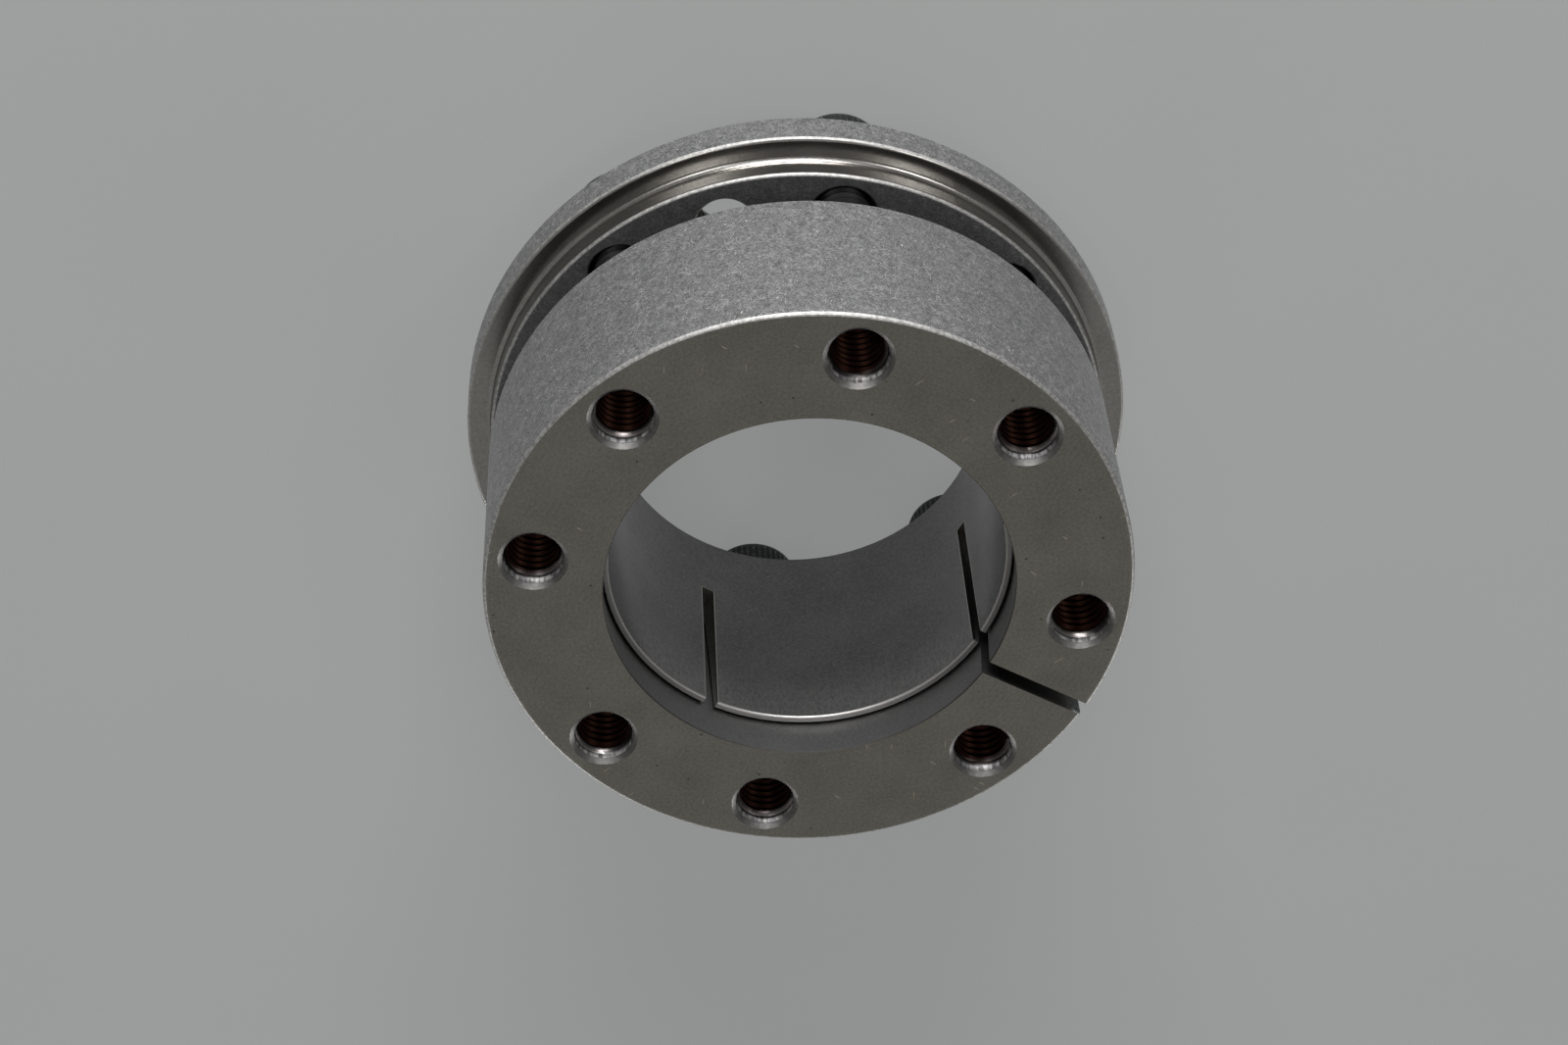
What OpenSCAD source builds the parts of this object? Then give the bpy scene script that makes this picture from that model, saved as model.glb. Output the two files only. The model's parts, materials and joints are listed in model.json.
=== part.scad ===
// Keyless shaft-to-hub locking device, single taper.
// Standing on its screw heads, shaft axis along +Z, tapped face up.
// Origin: on the axis, in the plane of the screw heads' ends.
// All lengths in millimetres.

/* [Shaft and hub] */
// Shaft bore of the inner ring, diameter
bore_d = 40; // [38:0.5:41]
// Hub bore size: outside of the outer ring and of the spigot, diameter
hub_d = 65; // [64:0.5:68]
// How far the flange stands out past the hub bore, radial
shoulder_w = 2.5; // [1.5:0.25:5]

/* [Lengths] */
// Flange rim, rear face to hub shoulder
rim_t = 4.5; // [3:0.25:7]
// Spigot standing in front of the hub shoulder
spigot_l = 2.9; // [2:0.1:4]
// Open gap between spigot and outer ring as delivered
ring_gap = 5.1; // [4.5:0.1:6]
// Outer ring, length along the shaft
ring_l = 21.5; // [18:0.5:26]
// How deep the sleeve's end sits inside the outer ring
tip_recess = 5; // [4:0.25:7]

/* [Taper] */
// Half angle of the taper, degrees
taper_a = 4.5; // [3:0.25:5]
// Wall of the sleeve at its thin end
tip_wall = 0.75; // [0.7:0.05:1.1]
// Radial play between the two tapers before tightening
taper_gap = 0.2; // [0.2:0.02:0.4]

/* [Slots] */
// Width of a slot that lets the sleeve close on the shaft
slot_w = 1.4; // [0.8:0.1:2]
// Solid sleeve left between a slot's end and the spigot
slot_land = 2.2; // [1:0.1:4]
// Width of the slit through the outer ring
slit_w = 1.5; // [0.8:0.1:2.5]

/* [Screws] */
// Nominal thread size of the clamping screws
screw_d = 6; // [5:0.5:6.5]
// Length of a screw under its head
screw_l = 20; // [18:1:25]
// Screw circle's distance inside the hub bore size
pitch_inset = 4.8; // [4.7:0.05:5]
// Angle from a slot to the screws on either side of it
screw_a = 20; // [16:1:24]
// Radial play of a screw in its clearance hole in the flange
clear_gap = 0.5; // [0.3:0.05:0.6]
// Radial play between a screw's thread and its tapped hole
thread_gap = 0.1; // [0.08:0.02:0.2]
// Turn of the hexagon from one screw to the next, degrees
hex_step = 23; // [0:1:59]

/* [Edges] */
// Radius of the outer ring's outside edges
ring_edge = 0.5; // [0.1:0.05:0.8]
// Radius of the front edges of flange and spigot
flange_edge = 0.4; // [0.1:0.05:0.6]
// Radius of the flange's rear edge
rear_edge = 0.5; // [0.1:0.05:1]
// Lead-in chamfer of the bore on the flange side
bore_lead = 1; // [0.3:0.1:1.5]
// Radius inside the sleeve's thin end
tip_edge = 0.26; // [0.1:0.02:0.3]
// Broken edge of the tapers' mouths
taper_edge = 0.12; // [0.05:0.01:0.2]
// Corner radius between shoulder and spigot
root_r = 0.5; // [0.2:0.1:0.8]
// Countersink of the tapped holes, radial
sink = 0.45; // [0.2:0.05:0.6]

/* [Hidden] */
$fn = 96;
// Cuts run this far past the faces they open
past = 1;
// Socket head cap screw, in thread diameters
head_d = screw_d * 10 / 6;
head_h = screw_d;
hex_af = screw_d * 5 / 6;
hex_depth = screw_d / 2;
head_edge = screw_d / 12;
tip_point = screw_d / 10;
// Cone that the drill leaves under the hexagon, half angle
drill_a = 59;
drill_h = hex_af / 2 / tan(drill_a);
// Radii
bore_r = bore_d / 2;
hub_r = hub_d / 2;
flange_r = hub_r + shoulder_w;
pitch_r = hub_r - pitch_inset;
sleeve_r = bore_r + tip_wall;
clear_r = screw_d / 2 + clear_gap;
tapped_r = screw_d / 2 + thread_gap / 2;
thread_r = screw_d / 2 - thread_gap / 2;
hex_r = hex_af / 2 / cos(30);
// Heights
rear_z = head_h;
shoulder_z = rear_z + rim_t;
spigot_z = shoulder_z + spigot_l;
ring_z = spigot_z + ring_gap;
face_z = ring_z + ring_l;
tip_z = face_z - tip_recess;
slot_z = spigot_z + slot_land;
screw_end = rear_z + screw_l;
// The slots sit a quarter turn apart, the outer ring's slit over one of them
slot_count = 4;
slot_pitch = 360 / slot_count;
slit_at = 270;
screw_count = 2 * slot_count;
// Steps of a quarter circle on an edge or in a corner
arc_steps = 5;

// Radius of the sleeve's taper at height z
function taper_r(z) = sleeve_r + (tip_z - z) * tan(taper_a);
// Radius of the outer ring's bore at height z
function mouth_r(z) = taper_r(z) + taper_gap;
// Direction of screw i: two to a slot, one on either side
function screw_at(i) = slit_at + floor((i - 1) / 2) * slot_pitch + (i % 2 == 0 ? screw_a : -screw_a);
// Direction of push-off hole j: half way between two slots
function push_at(j) = slit_at + (j - 0.5) * slot_pitch;
// Points of an arc of radius e round [x, z], from direction a to direction b
function arc_points(x, z, e, a, b) = [
    for (k = [0 : arc_steps]) [
        x + e * cos(a + (b - a) * k / arc_steps),
        z + e * sin(a + (b - a) * k / arc_steps)
    ]
];

// Through hole along Z with a countersink at each end
module hole(r, z0, z1, sink_low, sink_high) {
    translate([0, 0, z0 - past]) cylinder(h = z1 - z0 + 2 * past, r = r);
    if (sink_low > 0) {
        translate([0, 0, z0 - past]) cylinder(h = sink_low + past, r1 = r + sink_low + past, r2 = r);
    }
    if (sink_high > 0) {
        translate([0, 0, z1 - sink_high]) cylinder(h = sink_high + past, r1 = r, r2 = r + sink_high + past);
    }
}

// Inner ring: flange, spigot and slotted tapered sleeve turned from one piece
module inner_ring() {
    profile = concat(
        [[bore_r + bore_lead, rear_z]],
        arc_points(flange_r - rear_edge, rear_z + rear_edge, rear_edge, -90, 0),
        arc_points(flange_r - flange_edge, shoulder_z - flange_edge, flange_edge, 0, 90),
        arc_points(hub_r + root_r, shoulder_z + root_r, root_r, 270, 180),
        arc_points(hub_r - flange_edge, spigot_z - flange_edge, flange_edge, 0, 90),
        [[taper_r(spigot_z), spigot_z],
         [taper_r(tip_z - taper_edge), tip_z - taper_edge],
         [sleeve_r - taper_edge, tip_z]],
        arc_points(bore_r + tip_edge, tip_z - tip_edge, tip_edge, 90, 180),
        [[bore_r, rear_z + bore_lead]]);
    color([0.42, 0.41, 0.40])
    difference() {
        rotate_extrude() polygon(profile);
        for (s = [1 : slot_count]) {
            rotate([0, 0, slit_at + s * slot_pitch])
            translate([bore_r - past, -slot_w / 2, slot_z])
            cube([taper_r(slot_z) - bore_r + 2 * past, slot_w, tip_z - slot_z + past]);
        }
        for (i = [1 : screw_count]) {
            rotate([0, 0, screw_at(i)]) translate([pitch_r, 0, 0])
            hole(clear_r, rear_z, spigot_z, 0, sink / 2);
        }
        for (j = [1 : slot_count]) {
            rotate([0, 0, push_at(j)]) translate([pitch_r, 0, 0])
            hole(tapped_r, rear_z, spigot_z, sink, sink / 3);
        }
    }
}

// Outer ring: slit through on one side, tapered bore, tapped for the screws
module outer_ring() {
    profile = concat(
        [[mouth_r(ring_z) + taper_edge, ring_z]],
        arc_points(hub_r - ring_edge, ring_z + ring_edge, ring_edge, -90, 0),
        arc_points(hub_r - ring_edge, face_z - ring_edge, ring_edge, 0, 90),
        [[mouth_r(face_z) + taper_edge, face_z],
         [mouth_r(face_z - taper_edge), face_z - taper_edge],
         [mouth_r(ring_z + taper_edge), ring_z + taper_edge]]);
    color([0.52, 0.51, 0.49])
    difference() {
        rotate_extrude() polygon(profile);
        rotate([0, 0, slit_at])
        translate([bore_r - past, -slit_w / 2, ring_z - past])
        cube([hub_r - bore_r + 2 * past, slit_w, ring_l + 2 * past]);
        for (i = [1 : screw_count]) {
            rotate([0, 0, screw_at(i)]) translate([pitch_r, 0, 0])
            hole(tapped_r, ring_z, face_z, sink, sink);
        }
    }
}

// Socket head cap screw, head down, thread up
module clamp_screw(i) {
    profile = [
        [0, 0],
        [head_d / 2 - head_edge, 0],
        [head_d / 2, head_edge],
        [head_d / 2, head_h],
        [thread_r, head_h],
        [thread_r, screw_end - tip_point],
        [thread_r - tip_point, screw_end],
        [0, screw_end]];
    color([0.10, 0.10, 0.11])
    rotate([0, 0, screw_at(i)]) translate([pitch_r, 0, 0])
    difference() {
        rotate_extrude() polygon(profile);
        rotate([0, 0, i * hex_step]) translate([0, 0, -past]) cylinder(h = hex_depth + past, r = hex_r, $fn = 6);
        translate([0, 0, hex_depth]) cylinder(h = drill_h, r1 = hex_af / 2, r2 = 0);
    }
}

inner_ring();
outer_ring();
for (i = [1 : screw_count]) {
    clamp_screw(i);
}
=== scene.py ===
# %% [markdown]
# A keyless locking device, dressed for its portrait
#
# The object joins a plain shaft to a plain hub without a key. A slotted sleeve with a tapered outside
# grips the shaft, a slit ring with a tapered bore fills the hub, and eight socket screws behind the
# flange draw one onto the other. The solids come from the CAD model and stay exactly where they are:
# Blender adds the finish of each surface, the threads, the light and the camera.

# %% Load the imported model
import json
import math
from types import SimpleNamespace

import bmesh
import bpy
from mathutils import Matrix, Vector


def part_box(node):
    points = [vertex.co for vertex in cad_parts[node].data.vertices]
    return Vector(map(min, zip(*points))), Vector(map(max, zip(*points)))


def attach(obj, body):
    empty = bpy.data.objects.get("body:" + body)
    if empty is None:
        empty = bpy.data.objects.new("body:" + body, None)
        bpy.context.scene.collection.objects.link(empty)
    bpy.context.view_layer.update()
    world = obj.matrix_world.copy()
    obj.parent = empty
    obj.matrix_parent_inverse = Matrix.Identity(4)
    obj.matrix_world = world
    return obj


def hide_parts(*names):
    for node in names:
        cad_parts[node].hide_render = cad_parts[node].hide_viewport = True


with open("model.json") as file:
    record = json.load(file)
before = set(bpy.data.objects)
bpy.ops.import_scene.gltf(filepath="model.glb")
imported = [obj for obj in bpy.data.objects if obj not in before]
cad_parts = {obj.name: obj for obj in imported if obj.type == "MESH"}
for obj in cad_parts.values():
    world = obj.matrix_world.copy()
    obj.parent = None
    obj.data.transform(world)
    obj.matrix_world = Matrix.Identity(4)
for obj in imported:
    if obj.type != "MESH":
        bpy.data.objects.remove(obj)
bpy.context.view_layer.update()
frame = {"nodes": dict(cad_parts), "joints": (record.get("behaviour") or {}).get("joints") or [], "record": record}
nodes = frame["nodes"]

# %% [markdown]
# The places of the finishes are measured from the CAD model, so that they needn't be fitted by eye. The
# joints give the axis of each screw, the boxes of the nodes give the radii and ends of rings and screws,
# and the mounts give the bore and the shoulder that stops the hub. Two lengths along the inner ring, which
# no box shows, are repeated from the drawing. Blender works in metres, and a lathe operator thinks in
# millimetres, so one factor is kept at hand.

# %% Measure what the finishes need
MM = 0.001
SPIGOT_LENGTH = 2.9 * MM
SLOT_LAND = 2.2 * MM

_, ring_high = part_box("outer_ring")
flange_low, sleeve_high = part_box("inner_ring")
_, screw_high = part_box("clamp_screw_1")
mounts = {mount["name"]: mount for mount in frame["record"]["mounts"]}
hinges = [joint for joint in frame["joints"] if joint["type"] == "hinge"]
screw_axes = {hinge["child"]: Vector(hinge["pos_m"]) for hinge in hinges}

BORE_RADIUS = mounts["shaft_bore"]["dims"]["r_mm"] * MM
HUB_RADIUS = ring_high.x
FLANGE_RADIUS = sleeve_high.x
PITCH_RADIUS = math.hypot(screw_axes["screw_1"].x, screw_axes["screw_1"].y)
FLANGE_REAR = flange_low.z
SHOULDER = mounts["hub_stop"]["pos_m"][2]
SPIGOT_FACE = SHOULDER + SPIGOT_LENGTH
SLOT_END = SPIGOT_FACE + SLOT_LAND
SLEEVE_END = sleeve_high.z
SCREW_END = screw_high.z
RING_FACE = ring_high.z
print("bore, hub, flange and screw circle radius in mm:",
      [round(r / MM, 2) for r in (BORE_RADIUS, HUB_RADIUS, FLANGE_RADIUS, PITCH_RADIUS)])

# %% [markdown]
# The camera
#
# The photograph looks at the tapped face from about a third of a metre away, 35 degrees off the shaft
# axis. The device lay on its side there and stands on its screw heads here, so the same view is taken
# from high up, with the camera rolled half over: the side that lay uppermost is the one that the camera
# now stands on, and it still has to come out at the top of the picture. A camera could be aimed with a
# constraint, but three plain axes make one matrix, and nothing is left in the scene that would act on
# other views.

# %% Place the camera
eye = Vector((165.0, 109.05, 306.36)) * MM
aim = Vector((-5.81, -1.28, 20.0)) * MM
picture_up = Vector((0.7224, 0.3803, -0.5774))
back = (eye - aim).normalized()
right = picture_up.cross(back).normalized()
up = back.cross(right)
camera = bpy.data.objects.new("camera", bpy.data.cameras.new("camera"))
camera.matrix_world = Matrix.Translation(eye) @ Matrix((right, up, back)).transposed().to_4x4()
camera.data.lens = 76.5
camera.data.sensor_width = 36.0
camera.data.clip_start = 0.01
bpy.context.scene.collection.objects.link(camera)
bpy.context.scene.camera = camera
bpy.context.scene.view_settings.view_transform = "Standard"
print("camera distance in mm:", round((eye - aim).length / MM, 1))

# %% [markdown]
# A small bench for materials
#
# Every finish below is a node tree: where is this point on the part, which way does the surface face, and
# what did the tool leave there? A tree can be drawn by hand in the shader editor. In a script, a few
# short calls keep it readable: each one adds a node, feeds its inputs and hands back the output that the
# next one needs. Places are in object coordinates, which are the model's own metres, so a grain of 0.2 mm
# is really 0.2 mm. The first half of the bench knows about nodes and masks, numbers from 0 to 1 that say
# how far a point belongs to a place.

# %% The bench: nodes, places and masks
class NodeBench:
    """A new material, its places, and short calls that add nodes to it."""

    def __init__(self, name):
        self.material = bpy.data.materials.new(name)
        self.material.use_nodes = True
        self.tree = self.material.node_tree
        self.shader = self.tree.nodes["Principled BSDF"]
        where = self.add("ShaderNodeTexCoord")
        self.place = where.outputs["Object"]
        self.x, self.y, self.height = self.add("ShaderNodeSeparateXYZ", self.place).outputs
        flat = self.add("ShaderNodeCombineXYZ", self.x, self.y).outputs[0]
        self.radius = self.add("ShaderNodeVectorMath", flat, operation="LENGTH").outputs["Value"]
        facing_up = self.add("ShaderNodeSeparateXYZ", where.outputs["Normal"]).outputs["Z"]
        self.level = self.math("ABSOLUTE", facing_up)

    def add(self, kind, *inputs, **settings):
        """A node with its settings made and its first inputs fed."""
        node = self.tree.nodes.new(kind)
        for setting, value in settings.items():
            setattr(node, setting, value)
        for socket, value in zip(node.inputs, inputs):
            self.feed(socket, value)
        return node

    def feed(self, socket, value):
        """A socket takes either the output of another node or a plain value."""
        if isinstance(value, bpy.types.NodeSocket):
            self.tree.links.new(value, socket)
        else:
            socket.default_value = value

    def math(self, how, *inputs):
        return self.add("ShaderNodeMath", *inputs, operation=how).outputs[0]

    def rise(self, value, low, high):
        """0 below low, 1 above high, smooth in between."""
        node = self.add("ShaderNodeMapRange", value, low, high, 0.0, 1.0, interpolation_type="SMOOTHSTEP")
        return node.outputs[0]

    def beyond(self, measure, start, blur_mm):
        """0 up to a radius or height, 1 from a blur further on."""
        return self.rise(measure, start, start + blur_mm * MM)

    def without(self, mask):
        return self.math("SUBTRACT", 1.0, mask)

    def within(self, measure, start, blur_mm):
        """1 up to a radius or height, 0 from a blur further on."""
        return self.without(self.beyond(measure, start, blur_mm))

    def both(self, *masks):
        product = masks[0]
        for mask in masks[1:]:
            product = self.math("MULTIPLY", product, mask)
        return product

    def either(self, *masks):
        largest = masks[0]
        for mask in masks[1:]:
            largest = self.math("MAXIMUM", largest, mask)
        return largest

    def weigh(self, *parts):
        """Sum of masks, each with its own weight."""
        total = 0.0
        for mask, weight in parts:
            total = self.math("MULTIPLY_ADD", mask, weight, total)
        return total


print("bench for masks ready")

# %% [markdown]
# The second half of the bench knows what a finish is made of: noise of a true size, colours and numbers
# that a mask mixes, and a bump whose depth is given in millimetres. Blender's Mix node has one set of
# sockets for each kind of value, so the two calls that mix pick theirs by number.

# %% The bench: grain, mixtures and relief
class Finish(NodeBench):
    """One material of the object, built up from grain, mixtures and relief."""

    def grain(self, size_mm, detail=2.0, roughness=0.5, place=None):
        """Noise whose lumps are about size_mm across, from 0 to 1."""
        node = self.add("ShaderNodeTexNoise")
        self.feed(node.inputs["Vector"], place or self.place)
        self.feed(node.inputs["Scale"], 1.0 / (size_mm * MM))
        self.feed(node.inputs["Detail"], detail)
        self.feed(node.inputs["Roughness"], roughness)
        return node.outputs["Fac"]

    def drawn_up(self, stretch):
        """Places squeezed in height, so that noise becomes upright streaks."""
        squeeze = (1.0, 1.0, 1.0 / stretch)
        return self.add("ShaderNodeVectorMath", self.place, squeeze, operation="MULTIPLY").outputs[0]

    def drawn_along(self, place, turn_deg, long, wide):
        """Places turned about the vertical and measured in steps of long by wide metres."""
        turned_place = self.add("ShaderNodeVectorRotate", rotation_type="Z_AXIS")
        self.feed(turned_place.inputs["Vector"], place)
        self.feed(turned_place.inputs["Angle"], math.radians(turn_deg))
        drawn = self.add("ShaderNodeMapping", turned_place.outputs[0])
        self.feed(drawn.inputs["Scale"], (1.0 / long, 1.0 / wide, 1.0))
        return drawn

    def blend(self, share, first, second):
        """Colours (or sockets) mixed by a mask."""
        node = self.add("ShaderNodeMix", data_type="RGBA")
        self.feed(node.inputs[0], share)
        for socket, colour in zip(node.inputs[6:8], (first, second)):
            is_socket = isinstance(colour, bpy.types.NodeSocket)
            self.feed(socket, colour if is_socket else (*colour, 1.0))
        return node.outputs[2]

    def tint(self, mask, strength, colour, tone):
        """A colour, tinted with a tone where the mask is, at most by the given strength."""
        return self.blend(self.math("MULTIPLY", mask, strength), colour, tone)

    def slide(self, share, first, second):
        """Numbers (or sockets) mixed by a mask."""
        node = self.add("ShaderNodeMix", data_type="FLOAT")
        self.feed(node.inputs[0], share)
        self.feed(node.inputs[2], first)
        self.feed(node.inputs[3], second)
        return node.outputs[0]

    def relief(self, height, depth_mm, strength, under=None):
        """A bump of the given true depth, laid over another if one is given."""
        node = self.add("ShaderNodeBump")
        self.feed(node.inputs["Strength"], strength)
        self.feed(node.inputs["Distance"], depth_mm * MM)
        self.feed(node.inputs["Height"], height)
        if under:
            self.feed(node.inputs["Normal"], under)
        return node.outputs[0]

    def wear(self, colour, roughness, normal=None):
        """The shader gets what was made for it, and the material is ready."""
        self.feed(self.shader.inputs["Base Color"], colour)
        self.feed(self.shader.inputs["Roughness"], roughness)
        if normal:
            self.feed(self.shader.inputs["Normal"], normal)
        return self.material


print("bench for finishes ready")

# %% [markdown]
# Floor and surroundings
#
# The device stands on a plain pale grey floor in front of a wall of the same tone. Lamps strong enough to
# bring the floor to that tone would flood the metal, so the floor partly shows its own colour to the
# lens, and to rays that come by way of metal or glass. Close to the device it does so less, and keeps the
# device's soft shadow.

# %% Floor and world
FLOOR_DARK, FLOOR_LIGHT, FLOOR_FLECK = (0.340, 0.348, 0.344), (0.362, 0.370, 0.364), (0.30, 0.31, 0.305)
WALL, ROOM = (0.343, 0.351, 0.346, 1.0), (0.20, 0.20, 0.205, 1.0)
NEAR_FLOOR, FAR_FLOOR, HALF_FLOOR = 0.2, 1.0, 4.0
SHOWN_NEAR, SHOWN_FAR = 0.65, 0.97


def seen_background(tree):
    """1 for rays that show the background as such: straight to the lens, or by way of metal or glass."""
    path = tree.nodes.new("ShaderNodeLightPath")
    seen = path.outputs["Is Camera Ray"]
    for way in ("Is Glossy Ray", "Is Transmission Ray"):
        either = tree.nodes.new("ShaderNodeMath")
        either.operation = "MAXIMUM"
        tree.links.new(seen, either.inputs[0])
        tree.links.new(path.outputs[way], either.inputs[1])
        seen = either.outputs[0]
    return seen


def floor_finish():
    mat = Finish("pale_floor")
    patches = mat.grain(60.0, detail=3.0)
    fine = mat.grain(1.2)
    tone = mat.blend(patches, FLOOR_DARK, FLOOR_LIGHT)
    tone = mat.tint(fine, 0.10, tone, FLOOR_FLECK)
    mat.wear(tone, 0.85)
    glow = mat.add("ShaderNodeEmission", tone, 1.0)
    far = mat.rise(mat.radius, NEAR_FLOOR, FAR_FLOOR)
    share = mat.both(seen_background(mat.tree), mat.slide(far, SHOWN_NEAR, SHOWN_FAR))
    shown = mat.add("ShaderNodeMixShader", share, mat.shader.outputs[0], glow.outputs[0])
    mat.tree.links.new(shown.outputs[0], mat.tree.nodes["Material Output"].inputs["Surface"])
    return mat.material


def lay_floor():
    mesh = bpy.data.meshes.new("floor")
    square = ((-1, -1), (1, -1), (1, 1), (-1, 1))
    mesh.from_pydata([(x * HALF_FLOOR, y * HALF_FLOOR, 0.0) for x, y in square], [], [(0, 1, 2, 3)])
    mesh.materials.append(floor_finish())
    floor = bpy.data.objects.new("floor", mesh)
    bpy.context.scene.collection.objects.link(floor)


def paint_world():
    world = bpy.data.worlds.new("room")
    bpy.context.scene.world = world
    world.use_nodes = True
    tree = world.node_tree
    room = tree.nodes["Background"]
    room.inputs["Color"].default_value = ROOM
    wall = tree.nodes.new("ShaderNodeBackground")
    wall.inputs["Color"].default_value = WALL
    mix = tree.nodes.new("ShaderNodeMixShader")
    tree.links.new(seen_background(tree), mix.inputs[0])
    tree.links.new(room.outputs[0], mix.inputs[1])
    tree.links.new(wall.outputs[0], mix.inputs[2])
    tree.links.new(mix.outputs[0], tree.nodes["World Output"].inputs["Surface"])


lay_floor()
paint_world()
print("floor laid,", 2 * HALF_FLOOR, "m wide, and world painted")

# %% [markdown]
# The lamps
#
# In the photograph one broad light above the device makes its upper edges flash, while the tapped face
# stays dark. What was above there is the side that the camera stands on here, so the large soft key lamp
# hangs on that side, only 11 degrees up: the outsides and rounded edges throw its light into the lens,
# and the tapped holes stay dark inside. Two small high lamps draw the long glints in the rounded corner
# of the flange, and two low fills behind the device light its other sides. Point lamps would give hard
# dots; area lamps give the soft glints of real metal.

# %% Lamps
SKY = 30.0
# Each lamp: turn from the sky side and elevation in degrees, distance, width and height in metres, watts
LAMPS = {
    "key_lamp": (0, 11, 0.9, 0.45, 0.28, 18.0),
    "left_lamp": (32, 56, 1.1, 0.16, 0.30, 0.9),
    "right_lamp": (-48, 56, 1.1, 0.16, 0.30, 0.9),
    "left_fill": (152, 6, 1.1, 0.5, 0.15, 4.5),
    "right_fill": (-138, 6, 1.1, 0.5, 0.15, 4.5),
}


def hang_lamp(name, turn, elevation, distance, width, height, watts):
    """A soft lamp aimed at the middle of the device. Angles go from +X towards +Y."""
    a, e = math.radians(SKY + turn), math.radians(elevation)
    outward = Vector((math.cos(a) * math.cos(e), math.sin(a) * math.cos(e), math.sin(e)))
    data = bpy.data.lights.new(name, "AREA")
    data.shape = "RECTANGLE"
    data.size = width
    data.size_y = height
    data.energy = watts
    lamp = bpy.data.objects.new(name, data)
    lamp.location = outward * distance + Vector((0, 0, RING_FACE / 2))
    lamp.rotation_mode = "QUATERNION"
    lamp.rotation_quaternion = outward.to_track_quat("Z", "Y")
    bpy.context.scene.collection.objects.link(lamp)


for lamp_name, setting in LAMPS.items():
    hang_lamp(lamp_name, *setting)
print("lamps hung:", ", ".join(LAMPS))

# %% [markdown]
# What the tools left on the steel
#
# Both rings were turned, drilled and tapped, and then tumbled in a drum with other parts. The tumbling
# leaves the outsides matte, pitted and covered with hair-fine scratches in all directions, and it rounds
# and brightens every outer edge. A bitmap could carry such a skin, but it would stretch round a cylinder
# and stop at one resolution. Noise costs nothing to unroll: the angle times the radius and the height
# give a flat sheet, and on that sheet a noise that is pulled long in one direction becomes hairs.

# %% Tumbled steel, for the outsides
HAIR_TURNS = (8, 41, 77, 112, 149)
BRIGHT_TURN, DARK_TURN = 17, 29
FELT_HAIR, SCRATCH = (1.5, 0.12), (1.2, 0.10)
HAIR_SHIFT = (3.7, 1.9)
FELT_DARK, FELT_LIGHT = (0.094, 0.095, 0.096), (0.212, 0.212, 0.212)
SCAR, GLINT, FLAKE = (0.045, 0.045, 0.045), (0.48, 0.48, 0.475), (0.80, 0.80, 0.79)
TUMBLED_DEPTH_MM, TUMBLED_BUMP = 0.014, 0.6
TUMBLED_METAL = 0.92


def hairs(mat, sheet, turn_deg, length_mm, width_mm):
    """Noise drawn out into hairs that lie in one direction on an unrolled surface."""
    drawn = mat.drawn_along(sheet, turn_deg, length_mm * MM, width_mm * MM)
    mat.feed(drawn.inputs["Location"], (*(turn_deg * shift for shift in HAIR_SHIFT), 0.0))
    noise = mat.add("ShaderNodeTexNoise", drawn.outputs[0])
    mat.feed(noise.inputs["Scale"], 1.0)
    mat.feed(noise.inputs["Detail"], 1.0)
    return noise.outputs["Fac"]


def unrolled(mat):
    """A flat sheet of places: walls are unrolled, and level faces are taken as they lie."""
    around = mat.math("MULTIPLY", mat.math("ARCTAN2", mat.y, mat.x), mat.radius)
    wall = mat.add("ShaderNodeCombineXYZ", around, mat.height).outputs[0]
    return mat.blend(mat.math("GREATER_THAN", mat.level, 0.7), wall, mat.place)


def tumbled(mat):
    """Colour, roughness and height of tumbled steel: a felt of hairs, drifts of scars, a few flakes."""
    sheet = unrolled(mat)
    felt, bright, dark = 0.0, 0.0, 0.0
    for turn in HAIR_TURNS:
        felt = mat.math("ADD", felt, hairs(mat, sheet, turn, *FELT_HAIR))
        bright = mat.either(bright, mat.rise(hairs(mat, sheet, turn + BRIGHT_TURN, *SCRATCH), 0.62, 0.72))
        dark = mat.either(dark, mat.rise(hairs(mat, sheet, turn + DARK_TURN, *SCRATCH), 0.60, 0.70))
    drift = mat.grain(1.6, detail=3.0, roughness=0.6)
    dark = mat.both(dark, mat.slide(mat.rise(drift, 0.42, 0.60), 0.35, 1.0))
    bright = mat.both(bright, mat.slide(mat.rise(drift, 0.40, 0.56), 1.0, 0.5))
    pits = mat.grain(0.20, roughness=0.6)
    flakes = mat.rise(mat.grain(0.40, roughness=0.6), 0.70, 0.75)
    tone = mat.weigh((felt, 0.76 / len(HAIR_TURNS)), (pits, 0.16), (drift, 0.08))
    colour = mat.blend(mat.rise(tone, 0.43, 0.57), FELT_DARK, FELT_LIGHT)
    colour = mat.tint(dark, 0.75, colour, SCAR)
    colour = mat.tint(bright, 0.60, colour, GLINT)
    colour = mat.tint(flakes, 0.6, colour, FLAKE)
    height = mat.weigh((tone, 1.0), (bright, 0.15), (dark, -0.20))
    return colour, mat.slide(tone, 0.62, 0.76), height


print("tumbled steel has hairs in", len(HAIR_TURNS), "directions")

# %% [markdown]
# The faces and bores were cut last, and the drum has hardly touched them. A turned face has a fine
# mottle, soft clouds of oil and, seen closely, the rings of the tool, which are a noise that changes
# along the radius only. Its edges were rounded by small blows. Nicks and fibres of dust are few, so they
# are drawn as cells that each may hold one: a draw from the cell's own colour decides, and most cells
# stay clean.

# %% Turned steel and worn edges
FACE_DARK, FACE_LIGHT = (0.160, 0.150, 0.127), (0.240, 0.226, 0.196)
EDGE_DARK, EDGE_LIGHT = (0.190, 0.186, 0.181), (0.315, 0.310, 0.300)
TOOL_RING_MM = 0.16
TURNED_DEPTH_MM, TURNED_BUMP = 0.0012, 0.4


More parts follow.
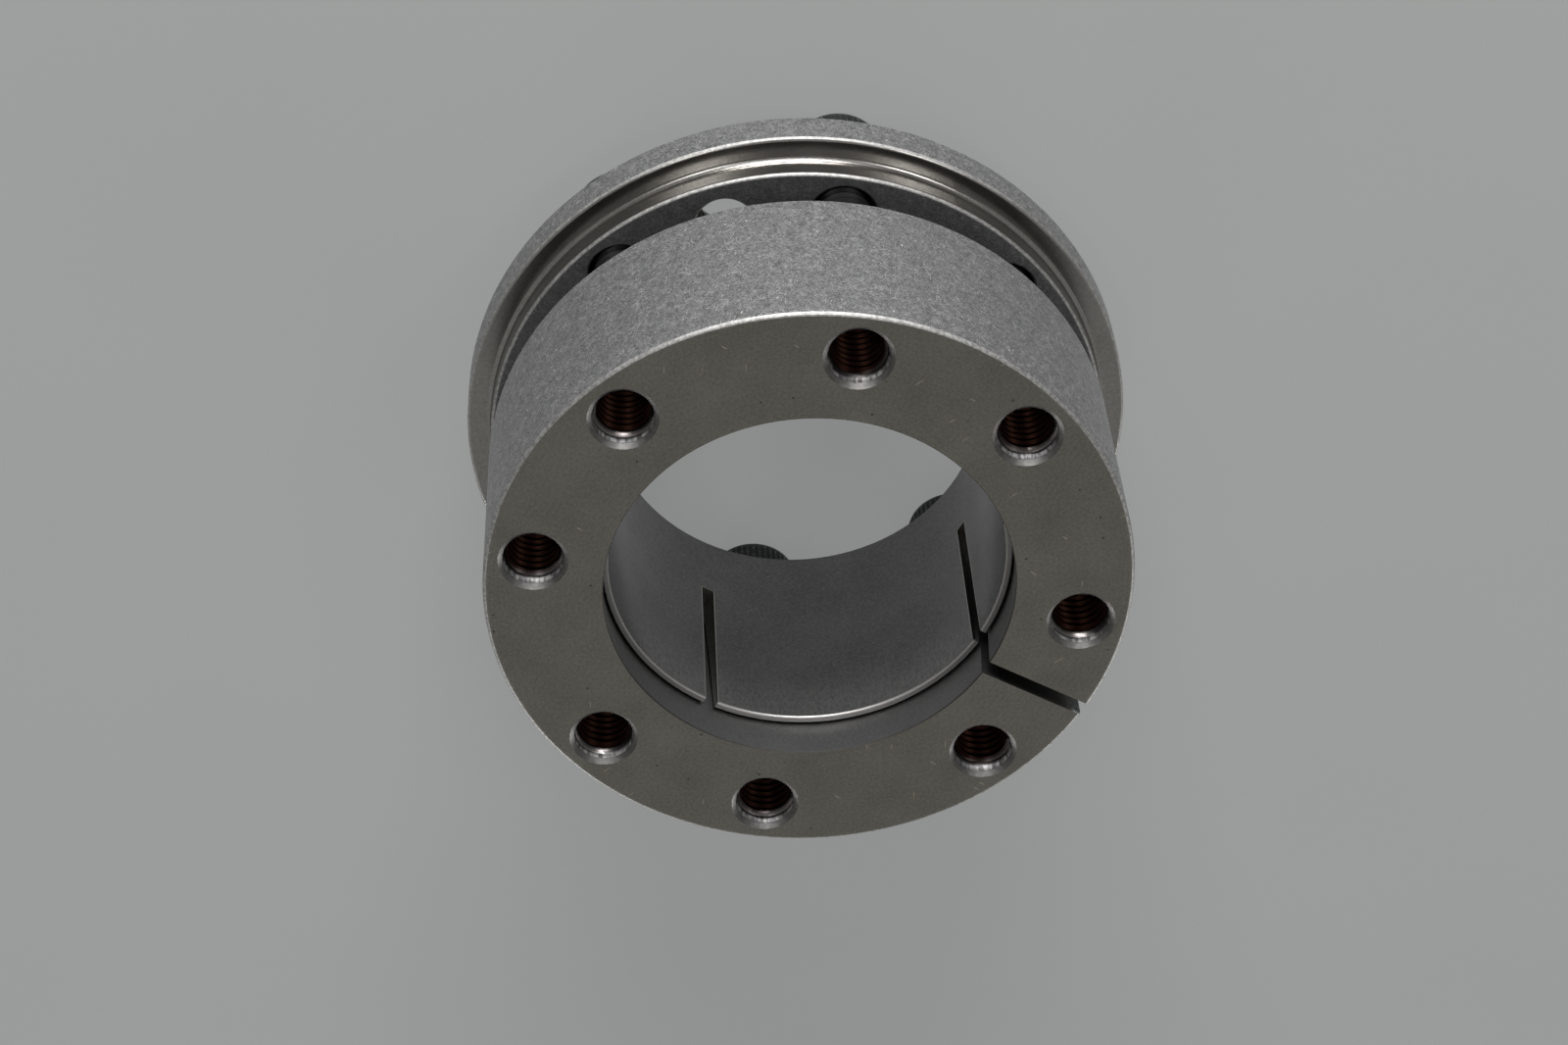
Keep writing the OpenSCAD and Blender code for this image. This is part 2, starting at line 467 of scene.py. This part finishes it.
def turned(mat, along, dark, light):
    """Colour and height of a turned surface: a fine mottle, soft clouds of oil and the tool's own rings."""
    rings = mat.grain(TOOL_RING_MM, detail=1.0, place=mat.add("ShaderNodeCombineXYZ", along).outputs[0])
    cloud = mat.grain(6.0, detail=3.0, roughness=0.55)
    mottle = mat.grain(0.32, detail=3.0, roughness=0.6)
    share = mat.weigh((cloud, 0.26), (mottle, 0.56), (rings, 0.18))
    return mat.blend(mat.rise(share, 0.30, 0.70), dark, light), rings


def worn_edge(mat):
    """Colour and roughness of an edge that the drum has rounded: bright, and beaded with small blows."""
    blows = mat.grain(0.38, detail=3.0, roughness=0.6)
    return mat.blend(mat.rise(blows, 0.34, 0.64), EDGE_DARK, EDGE_LIGHT), mat.slide(blows, 0.50, 0.62)


print("turned steel has tool rings of", TOOL_RING_MM, "mm")

# %% Nicks and dust
# Half a speck, in sizes of its cell
SPECK_REACH = 0.06
# Each kind: direction in degrees, length and width in mm, share of the cells that hold one, colour
DUST = (
    (0, 0.23, 0.23, 0.07, (0.085, 0.079, 0.067)),
    (25, 0.90, 0.085, 0.030, (0.40, 0.37, 0.29)),
    (95, 0.70, 0.085, 0.030, (0.46, 0.43, 0.37)),
    (150, 0.80, 0.085, 0.030, (0.40, 0.37, 0.29)),
)


def specks(mat, colour):
    """Dark nicks and pale fibres of dust on a flat face, at most one of a kind to a cell."""
    for turn, long_mm, wide_mm, share, tone in DUST:
        cell_long, cell_wide = [size * MM / (2 * SPECK_REACH) for size in (long_mm, wide_mm)]
        drawn = mat.drawn_along(mat.place, turn, cell_long, cell_wide)
        cells = mat.add("ShaderNodeTexVoronoi", voronoi_dimensions="2D", feature="F1")
        mat.feed(cells.inputs["Vector"], drawn.outputs[0])
        mat.feed(cells.inputs["Scale"], 1.0)
        reach = mat.math("MULTIPLY", mat.grain(0.3), 2 * SPECK_REACH)
        near = mat.math("LESS_THAN", cells.outputs["Distance"], reach)
        chance = mat.add("ShaderNodeSeparateColor", cells.outputs["Color"]).outputs[0]
        colour = mat.blend(mat.both(near, mat.math("LESS_THAN", chance, share)), colour, tone)
    return colour


print("kinds of nicks and fibres:", len(DUST))

# %% [markdown]
# The outer ring
#
# The outside, which fills the hub, is tumbled steel; the tapped face was turned last and is smooth and a
# little brown with oil; the tapered bore is smooth and dark. Each face could be picked by hand and given
# its own material, but a new size would undo the picking. One material tells these places apart instead,
# by the distance from the shaft axis and by which way the surface faces.

# %% Where the outer ring has which surface
OUTSIDE_BAND = 1.3 * MM
TAPER_BAND = 2.5 * MM


def faces_and_edges(mat):
    """Masks by slope: level faces, and the slanted edges and countersinks beside them."""
    on_face = mat.rise(mat.level, 0.90, 0.97)
    return on_face, mat.both(mat.rise(mat.level, 0.25, 0.45), mat.without(on_face))


def outer_ring_places(mat):
    at = SimpleNamespace()
    at.face, at.edge = faces_and_edges(mat)
    at.outside = mat.beyond(mat.radius, HUB_RADIUS - OUTSIDE_BAND, 0.4)
    at.bore = mat.within(mat.radius, BORE_RADIUS + TAPER_BAND, 0.3)
    at.tumbled = mat.both(at.outside, mat.without(at.face))
    at.sink = mat.both(at.edge, mat.without(at.outside), mat.without(at.bore))
    at.mouth = mat.both(at.edge, at.bore)
    return at


print("outer ring's outside begins at radius in mm:", round((HUB_RADIUS - OUTSIDE_BAND) / MM, 2))

# %% The outer ring's material
HOLE_WALL = (0.12, 0.115, 0.11)
TAPER_DARK, TAPER_LIGHT = (0.17, 0.17, 0.17), (0.25, 0.25, 0.25)
MOUTH = (0.040, 0.038, 0.036)
# The countersinks are painted darker than the face: painted shade in the mouths of the tapped holes
SINK_SHADE_DARK, SINK_SHADE_LIGHT = (0.055, 0.053, 0.050), (0.150, 0.145, 0.142)


def outer_ring_finish():
    mat = Finish("outer_ring_steel")
    at = outer_ring_places(mat)
    skin_colour, skin_rough, skin_height = tumbled(mat)
    face_colour, face_rings = turned(mat, mat.radius, FACE_DARK, FACE_LIGHT)
    taper_colour, _ = turned(mat, mat.height, TAPER_DARK, TAPER_LIGHT)
    edge_colour, edge_rough = worn_edge(mat)
    colour = mat.blend(at.outside, HOLE_WALL, skin_colour)
    colour = mat.blend(at.bore, colour, taper_colour)
    colour = mat.blend(at.face, colour, specks(mat, face_colour))
    colour = mat.blend(at.edge, colour, edge_colour)
    colour = mat.blend(at.mouth, colour, MOUTH)
    # Painted shade in the countersinks
    colour = mat.blend(at.sink, colour, mat.blend(mat.grain(0.5), SINK_SHADE_DARK, SINK_SHADE_LIGHT))
    smear = mat.grain(3.0, detail=3.0)
    rough = mat.slide(at.outside, 0.36, skin_rough)
    rough = mat.slide(at.face, rough, mat.slide(smear, 0.36, 0.42))
    rough = mat.slide(at.edge, rough, edge_rough)
    rough = mat.slide(at.sink, rough, 0.44)
    rough = mat.slide(at.mouth, rough, 0.65)
    mat.feed(mat.shader.inputs["Metallic"], mat.slide(at.tumbled, 1.0, TUMBLED_METAL))
    grain = mat.relief(mat.both(skin_height, at.tumbled), TUMBLED_DEPTH_MM, TUMBLED_BUMP)
    lines = mat.relief(mat.both(face_rings, at.face), TURNED_DEPTH_MM, TURNED_BUMP, under=grain)
    return mat.wear(colour, rough, lines)


nodes["outer_ring"].data.materials[0] = outer_ring_finish()
print("outer ring finished, nodes:", len(nodes["outer_ring"].data.materials[0].node_tree.nodes))

# %% [markdown]
# The inner ring
#
# Flange, spigot and sleeve are one piece. The rim of the flange and the front of the spigot were tumbled
# like the outer ring. The shoulder and the side of the spigot, which locate the hub, were turned once
# more and shine through a brownish oil film, brightest in the rounded corner between them. Again one
# material finds its places by radius, height and slope.

# %% Where the inner ring has which surface
RIM_BAND, SPIGOT_BAND, LIP_BAND, SHOULDER_BAND = 0.8 * MM, 0.4 * MM, 0.45 * MM, 0.1 * MM
BELOW_FRONT, ABOVE_FRONT = 0.2 * MM, 1.0 * MM
BORE_BAND, SLEEVE_BAND, TIP_BAND = 0.3 * MM, 3.0 * MM, 0.35 * MM


def inner_ring_places(mat):
    at = SimpleNamespace()
    at.face, at.edge = faces_and_edges(mat)
    off_face = mat.without(at.face)
    past_spigot = mat.beyond(mat.radius, HUB_RADIUS - SPIGOT_BAND, 0.1)
    below_lip = mat.within(mat.height, SPIGOT_FACE - LIP_BAND, 0.1)
    above_shoulder = mat.beyond(mat.height, SHOULDER - SHOULDER_BAND, 0.05)
    at.corner = mat.both(past_spigot, below_lip, above_shoulder)
    from_front = mat.beyond(mat.height, SPIGOT_FACE - BELOW_FRONT, 0.1)
    to_sleeve = mat.within(mat.height, SPIGOT_FACE + ABOVE_FRONT, 1.0)
    at.front = mat.both(at.face, from_front, to_sleeve)
    at.rim = mat.both(mat.beyond(mat.radius, FLANGE_RADIUS - RIM_BAND, 0.3), off_face)
    at.tumbled = mat.either(at.front, at.rim)
    at.bore = mat.both(mat.within(mat.radius, BORE_RADIUS + BORE_BAND, 0.2), off_face)
    at.sleeve = mat.both(mat.within(mat.radius, BORE_RADIUS + SLEEVE_BAND, 0.2), off_face)
    at.tip = mat.beyond(mat.height, SLEEVE_END - TIP_BAND, 0.1)
    return at


print("inner ring's shiny corner is between heights in mm:",
      [round(z / MM, 2) for z in (SHOULDER - SHOULDER_BAND, SPIGOT_FACE - LIP_BAND)])

# %% [markdown]
# The bore is smooth and grey. It is rubbed bright in specks towards the thin end of the sleeve. Along the
# edges of the slots it carries a painted highlight, partly real wear, that stands for light caught on the
# edges. The specks could be painted, but a noise that is drawn up along the axis and fades with the height
# gives the same look from every side.

# %% The bore's colour
BORE_DARK, BORE_LIGHT = (0.135, 0.135, 0.134), (0.235, 0.235, 0.232)
# The second colour is a painted highlight on the slot edges, partly real wear
RUBBED, SLOT_EDGE_HIGHLIGHT = (0.38, 0.38, 0.375), (0.60, 0.59, 0.57)
RUBBED_LENGTH = 8.0 * MM
SLOT_EDGE_REACH, SLOT_EDGE_FOOT = 0.80 * MM, 0.2 * MM


def rubbed_bore(mat):
    colour, _ = turned(mat, mat.height, BORE_DARK, BORE_LIGHT)
    speckle = mat.grain(0.30, detail=3.0, roughness=0.6, place=mat.drawn_up(2.5))
    towards_end = mat.rise(mat.height, SLEEVE_END - RUBBED_LENGTH, SLEEVE_END)
    rubbed = mat.both(towards_end, mat.rise(speckle, 0.15, 0.85))
    beside = mat.math("MINIMUM", mat.math("ABSOLUTE", mat.x), mat.math("ABSOLUTE", mat.y))
    near_slot = mat.math("LESS_THAN", beside, SLOT_EDGE_REACH)
    slot_edge_highlight = mat.both(near_slot, mat.beyond(mat.height, SLOT_END - SLOT_EDGE_FOOT, 0.3))
    colour = mat.tint(rubbed, 0.75, colour, RUBBED)
    # Painted highlight along the slot edges, partly real wear
    return mat.tint(slot_edge_highlight, 0.7, colour, SLOT_EDGE_HIGHLIGHT)


print("rubbed end of the bore in mm:", round(RUBBED_LENGTH / MM, 1))

# %% The inner ring's material
CORNER_DARK, CORNER_LIGHT = (0.240, 0.230, 0.217), (0.350, 0.337, 0.318)
# The last of these is painted shade: near-black laid over the spigot's front face, in the narrow gap under the
# outer ring
TIP, SHADED, FRONT_GAP_SHADE = (0.36, 0.347, 0.340), (0.10, 0.095, 0.09), (0.05, 0.05, 0.05)


def inner_ring_finish():
    mat = Finish("inner_ring_steel")
    at = inner_ring_places(mat)
    skin_colour, skin_rough, skin_height = tumbled(mat)
    face_colour, face_rings = turned(mat, mat.radius, FACE_DARK, FACE_LIGHT)
    corner_colour, _ = turned(mat, mat.height, CORNER_DARK, CORNER_LIGHT)
    bore_colour = rubbed_bore(mat)
    edge_colour, edge_rough = worn_edge(mat)
    colour = mat.blend(at.face, SHADED, face_colour)
    colour = mat.blend(at.sleeve, colour, bore_colour)
    colour = mat.blend(at.bore, colour, bore_colour)
    colour = mat.blend(at.tumbled, colour, skin_colour)
    # Painted shade on the spigot's front face, in the narrow gap under the outer ring
    colour = mat.tint(at.front, 0.6, colour, FRONT_GAP_SHADE)
    colour = mat.blend(at.edge, colour, edge_colour)
    colour = mat.blend(at.tip, colour, TIP)
    colour = mat.blend(at.corner, colour, corner_colour)
    smear = mat.grain(4.0, detail=3.0)
    rough = mat.slide(smear, 0.32, 0.40)
    rough = mat.slide(at.tumbled, rough, skin_rough)
    rough = mat.slide(at.edge, rough, edge_rough)
    rough = mat.slide(at.corner, rough, mat.slide(smear, 0.17, 0.24))
    rough = mat.slide(at.tip, rough, 0.45)
    rough = mat.slide(mat.both(at.bore, mat.without(at.tip)), rough, mat.slide(smear, 0.22, 0.30))
    mat.feed(mat.shader.inputs["Metallic"], mat.slide(at.tumbled, 1.0, TUMBLED_METAL))
    grain = mat.relief(mat.both(skin_height, at.tumbled), TUMBLED_DEPTH_MM, TUMBLED_BUMP)
    rings = mat.both(face_rings, at.face, mat.without(at.front))
    return mat.wear(colour, rough, mat.relief(rings, TURNED_DEPTH_MM, TURNED_BUMP, under=grain))


nodes["inner_ring"].data.materials[0] = inner_ring_finish()
print("inner ring finished, nodes:", len(nodes["inner_ring"].data.materials[0].node_tree.nodes))

# %% [markdown]
# Threads in the tapped holes
#
# The CAD model holds each tapped hole as a plain cylinder of the thread's outer diameter. The thread
# itself is one helix: a profile with a narrow root, two 30 degree flanks and a flat crest, carried round
# the axis and up by one pitch a turn. It could be swept along a curve, but a grid of points with a known
# height and radius is exact, and the first turns can grow out of the smooth wall under the countersink.

# %% A helical sheet
PITCH = 1.0 * MM
WELD_DISTANCE = 2e-7


def helix_grid(profile, low, high, limit, columns):
    """Points and quads of a thread: rows follow the profile up the axis, columns go once round.

    The profile lists phase (in pitches) and radius (in mm), and limit(height, radius) trims the radius."""
    turns = int(math.ceil((high - low) / PITCH)) + 2
    phases = [n + u for n in range(turns) for u, _ in profile] + [float(turns)]
    radii = [r for _ in range(turns) for _, r in profile] + [profile[0][1]]
    points, quads = [], []
    for c in range(columns + 1):
        around = 2 * math.pi * c / columns
        for phase, radius in zip(phases, radii):
            z = min(max(low + PITCH * (phase - 1 + c / columns), low), high)
            r = limit(z, radius * MM)
            points.append((r * math.cos(around), r * math.sin(around), z))
    rows = len(phases)
    for c in range(columns):
        for j in range(rows - 1):
            a = c * rows + j
            quads.append((a, a + rows, a + rows + 1, a + 1))
    return points, quads


def weld(name, points, faces, sharp_deg):
    """A mesh from points and faces, with doubled points joined and only real edges left sharp."""
    mesh = bpy.data.meshes.new(name)
    mesh.from_pydata(points, [], faces)
    work = bmesh.new()
    work.from_mesh(mesh)
    bmesh.ops.remove_doubles(work, verts=work.verts, dist=WELD_DISTANCE)
    bmesh.ops.dissolve_degenerate(work, edges=work.edges, dist=WELD_DISTANCE)
    bmesh.ops.recalc_face_normals(work, faces=work.faces)
    work.to_mesh(mesh)
    work.free()
    mesh.shade_smooth()
    mesh.set_sharp_from_angle(angle=math.radians(sharp_deg))
    return mesh


print("thread pitch in mm:", PITCH / MM)

# %% [markdown]
# A tap leaves bright silver at the countersunk mouth and dull steel on the first turns. Below that the
# threads are painted near-black with a red-brown tint of cutting oil: painted shade, which deepens into
# the hole. The depth under the mouth tells them apart, and streaks along the axis break up the silver. A
# push-off hole goes right through the flange, so it has a mouth at either end.

# %% The threads' material
SILVER_DEPTH, SILVER_BLUR_MM = 0.90 * MM, 0.40
STEEL_DEPTH, STEEL_BLUR_MM = 1.40 * MM, 0.70
# Near-black with a red-brown tint of oil: painted shade deep in the holes
OIL_SHADE_DARK, OIL_SHADE_LIGHT = (0.003, 0.0018, 0.0015), (0.015, 0.0056, 0.0034)
STEEL_DARK, STEEL_LIGHT = (0.09, 0.08, 0.08), (0.18, 0.165, 0.16)
SILVER_DARK, SILVER_LIGHT = (0.22, 0.21, 0.215), (0.56, 0.55, 0.55)


def thread_finish(name, mouths):
    """Each mouth is a height and the sense of going in: 1 downwards, -1 upwards."""
    mat = Finish(name)
    mat.shader.inputs["Metallic"].default_value = 1.0
    lit, dull = 0.0, 0.0
    for mouth, inward in mouths:
        depth = mat.math("MULTIPLY", mat.math("SUBTRACT", mouth, mat.height), inward)
        lit = mat.either(lit, mat.within(depth, SILVER_DEPTH, SILVER_BLUR_MM))
        dull = mat.either(dull, mat.within(depth, STEEL_DEPTH, STEEL_BLUR_MM))
    streaks = mat.grain(0.35, place=mat.drawn_up(12.0))
    oil_and_shade = mat.blend(mat.grain(1.5), OIL_SHADE_DARK, OIL_SHADE_LIGHT)
    steel = mat.blend(streaks, STEEL_DARK, STEEL_LIGHT)
    silver = mat.blend(mat.rise(streaks, 0.35, 0.65), SILVER_DARK, SILVER_LIGHT)
    # Painted shade: silver at the mouth, near-black deeper down in the hole
    colour = mat.blend(lit, mat.blend(dull, oil_and_shade, steel), silver)
    return mat.wear(colour, mat.slide(lit, 0.30, mat.slide(streaks, 0.46, 0.62)))


print("silver reaches", round(SILVER_DEPTH / MM, 2), "mm into a hole")

# %% Cut the threads
INSIDE_THREAD = ((0.0, 3.02), (0.125, 3.02), (0.4375, 2.50), (0.6875, 2.50))
HOLE_COLUMNS = 56
HOLE_SHARP_DEG = 38
RUN_IN = 2.0 * MM
START_STEP = 137.0
SINK, FRONT_SINK = 0.45 * MM, 0.15 * MM
THREAD_FLOOR = SCREW_END + 2.6 * MM
PUSH_OFF_DIRECTIONS = (45, 135, 225, 315)


def inside_thread(name, low, high, places, body, material):
    """The same thread in several holes, each with its own start, as one piece that rides with its ring."""
    outer = INSIDE_THREAD[0][1] * MM

    def run_in(z, radius):
        share = min(1.0, (high - z) / RUN_IN, (z - low) / RUN_IN)
        return outer - (outer - radius) * share * share * (3 - 2 * share)

    points, quads = helix_grid(INSIDE_THREAD, low, high, run_in, HOLE_COLUMNS)
    all_points, all_quads = [], []
    for n, (x, y) in enumerate(places):
        start = len(all_points)
        started = Matrix.Rotation(math.radians(START_STEP * n), 3, "Z")
        all_points += [started @ Vector(p) + Vector((x, y, 0.0)) for p in points]
        all_quads += [tuple(i + start for i in quad) for quad in quads]
    mesh = weld(name, all_points, all_quads, HOLE_SHARP_DEG)
    mesh.flip_normals()
    mesh.materials.append(material)
    piece = bpy.data.objects.new(name, mesh)
    bpy.context.scene.collection.objects.link(piece)
    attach(piece, body)
    print(name, "has", len(mesh.polygons), "faces")


def on_screw_circle(direction):
    angle = math.radians(direction)
    return PITCH_RADIUS * math.cos(angle), PITCH_RADIUS * math.sin(angle)


inside_thread("tapped_threads", THREAD_FLOOR, RING_FACE - SINK,
              [(axis.x, axis.y) for axis in screw_axes.values()], "outer_ring",
              thread_finish("tapped_thread_steel", [(RING_FACE, 1.0)]))
inside_thread("push_off_threads", FLANGE_REAR + SINK, SPIGOT_FACE - FRONT_SINK,
              [on_screw_circle(direction) for direction in PUSH_OFF_DIRECTIONS], "inner_ring",
              thread_finish("push_off_thread_steel", [(SPIGOT_FACE, 1.0), (FLANGE_REAR, -1.0)]))

# %% [markdown]
# The clamping screws
#
# Socket head cap screws, blackened: a knurled head with a hexagon socket and a thread all the way up. The
# CAD model has the plain head and a plain shank. The piece here takes its place with the same outline: a
# lathe-like grid whose rows run from the bottom of the socket round the head, with the radius of the
# knurled rows going in and out around it. A knurl could be a bump in the material, but its teeth show in
# the outline of the head.

# %% The head
HEAD_RADIUS, HEAD_HEIGHT = 5.0 * MM, FLANGE_REAR
HEX_FLATS, HEX_DEPTH = 5.0 * MM, 3.0 * MM
# The drilled cone under the hexagon is a hair narrower than its flats
DRILL_SHARE, DRILL_DEPTH = 0.998, 1.5 * MM
DRILL_RADIUS = HEX_FLATS / 2 * DRILL_SHARE
LEAD_RADIUS, LEAD, LEAD_END = 2.72 * MM, 0.16 * MM, 0.35 * MM
TEETH, HEAD_COLUMNS = 48, 192
# Radius and height in mm of the rounded end and of the edge at the flange
HEAD_ROUNDING = ((4.30, 0.0), (4.56, 0.05), (4.76, 0.18), (4.87, 0.36), (4.90, 0.60))
HEAD_REAR_EDGE = ((4.90, 5.75), (4.86, 5.90))
# Depth of the grooves and height in mm of the knurled rows
KNURLED_ROWS = ((0.10, 0.85), (0.15, 1.05), (0.15, 5.35), (0.10, 5.55))
SEAT_OUTER, SEAT_INNER = 4.74 * MM, 2.60 * MM


def hexagon(around):
    """Distance from the middle to the socket's side in this direction, with a corner at zero."""
    return HEX_FLATS / 2 / math.cos((around % (math.pi / 3)) - math.pi / 6)


def knurl(around, depth):
    """Straight knurl: a V groove between two teeth."""
    tooth = (around * TEETH / (2 * math.pi)) % 1.0
    return HEAD_RADIUS - depth * abs(2 * tooth - 1)


def head_rows(around):
    """Radius and height of one column, from the middle of the socket to the shank."""
    side = hexagon(around)
    lead = max(side, LEAD_RADIUS)
    rows = [(0.0, HEX_DEPTH + DRILL_DEPTH), (DRILL_RADIUS, HEX_DEPTH)]
    rows += [(side, HEX_DEPTH), (side, LEAD_END), (lead, LEAD), (lead + LEAD, 0.0)]
    rows += [(r * MM, z * MM) for r, z in HEAD_ROUNDING]
    rows += [(knurl(around, depth * MM), z * MM) for depth, z in KNURLED_ROWS]
    rows += [(r * MM, z * MM) for r, z in HEAD_REAR_EDGE]
    rows += [(SEAT_OUTER, HEAD_HEIGHT), (SEAT_INNER, HEAD_HEIGHT)]
    return rows


def head_grid():
    """Points and quads of the head, closed all the way round."""
    rows = len(head_rows(0.0))
    points, quads = [], []
    for c in range(HEAD_COLUMNS):
        around = 2 * math.pi * c / HEAD_COLUMNS
        points += [(r * math.cos(around), r * math.sin(around), z) for r, z in head_rows(around)]
        for j in range(rows - 1):
            a, b = c * rows + j, (c + 1) % HEAD_COLUMNS * rows + j
            quads.append((a, b, b + 1, a + 1))
    return points, quads


print("head outline has", len(head_rows(0.0)), "points")

# %% [markdown]
# The shank is the same helix as in the holes, turned inside out, and it stays a little inside the CAD
# model's plain cylinder. Its last turns are trimmed by the cone of the chamfered point, and a flat disc
# closes the end.

# %% The shank
OUTSIDE_THREAD = ((0.0, 2.42), (0.25, 2.42), (0.5625, 2.94), (0.6875, 2.94))
TIP_RADIUS = 2.36 * MM
SHANK_COLUMNS = 48
SCREW_SHARP_DEG = 32


def shank_grid():
    def chamfered(z, radius):
        return min(radius, TIP_RADIUS + (SCREW_END - z))

    points, quads = helix_grid(OUTSIDE_THREAD, HEAD_HEIGHT, SCREW_END, chamfered, SHANK_COLUMNS)
    start = len(points)
    for c in range(SHANK_COLUMNS):
        around = 2 * math.pi * c / SHANK_COLUMNS
        points.append((TIP_RADIUS * math.cos(around), TIP_RADIUS * math.sin(around), SCREW_END))
    quads.append(tuple(range(start, start + SHANK_COLUMNS)))
    return points, quads


def screw_mesh():
    points, faces = head_grid()
    shank_points, shank_faces = shank_grid()
    start = len(points)
    faces += [tuple(i + start for i in face) for face in shank_faces]
    return weld("socket_screw", points + shank_points, faces, SCREW_SHARP_DEG)


blank = screw_mesh()
print("faces of one screw:", len(blank.polygons))

# %% [markdown]
# Black oxide is a thin film on the steel: nearly black, a little cloudy, with an oily sheen, and worn to
# bare metal on some of the knurl's teeth. A plain black would look like plastic, so the metal under the
# film is kept in the shader. All screws share one mesh. The hexagon is turned from one screw to the next,
# because nobody lines them up when they are put in.

# %% Black oxide, and the eight screws
OXIDE_DARK, OXIDE_LIGHT = (0.017, 0.0185, 0.019), (0.031, 0.035, 0.0345)
# The first colour is painted shade for the shank, which stays in the gap and in the holes; the second is real wear
SHANK_SHADE, BARE_TOOTH = (0.012, 0.012, 0.013), (0.26, 0.26, 0.255)
OXIDE_METAL = 0.75
FILM_DEPTH_MM, FILM_BUMP = 0.006, 0.6
HEX_STEP = 23
TOOTH_BAND = 0.07 * MM


def black_oxide():
    mat = Finish("black_oxide")
    mat.shader.inputs["Metallic"].default_value = OXIDE_METAL
    cloud = mat.grain(1.6, detail=3.0)
    film = mat.grain(0.22, detail=3.0)
    tooth_top = mat.rise(mat.radius, HEAD_RADIUS - TOOTH_BAND, HEAD_RADIUS)
    colour = mat.blend(mat.rise(cloud, 0.35, 0.7), OXIDE_DARK, OXIDE_LIGHT)
    # Painted shade: the threaded shank below the head is darker than the head
    colour = mat.blend(mat.beyond(mat.height, HEAD_HEIGHT, 0.4), colour, SHANK_SHADE)
    colour = mat.tint(mat.both(tooth_top, mat.rise(film, 0.50, 0.62)), 0.6, colour, BARE_TOOTH)
    return mat.wear(colour, mat.slide(film, 0.28, 0.48), mat.relief(film, FILM_DEPTH_MM, FILM_BUMP))


blank.materials.append(black_oxide())
for body, axis in screw_axes.items():
    number = int(body.split("_")[1])
    direction = math.atan2(axis.y, axis.x) + math.radians(HEX_STEP * number)
    screw = bpy.data.objects.new("socket_screw_%d" % number, blank)
    screw.matrix_world = Matrix.Translation((axis.x, axis.y, 0.0)) @ Matrix.Rotation(direction, 4, "Z")
    bpy.context.scene.collection.objects.link(screw)
    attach(screw, body)
    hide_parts("clamp_screw_%d" % number)
print("screws put in:", len(screw_axes))
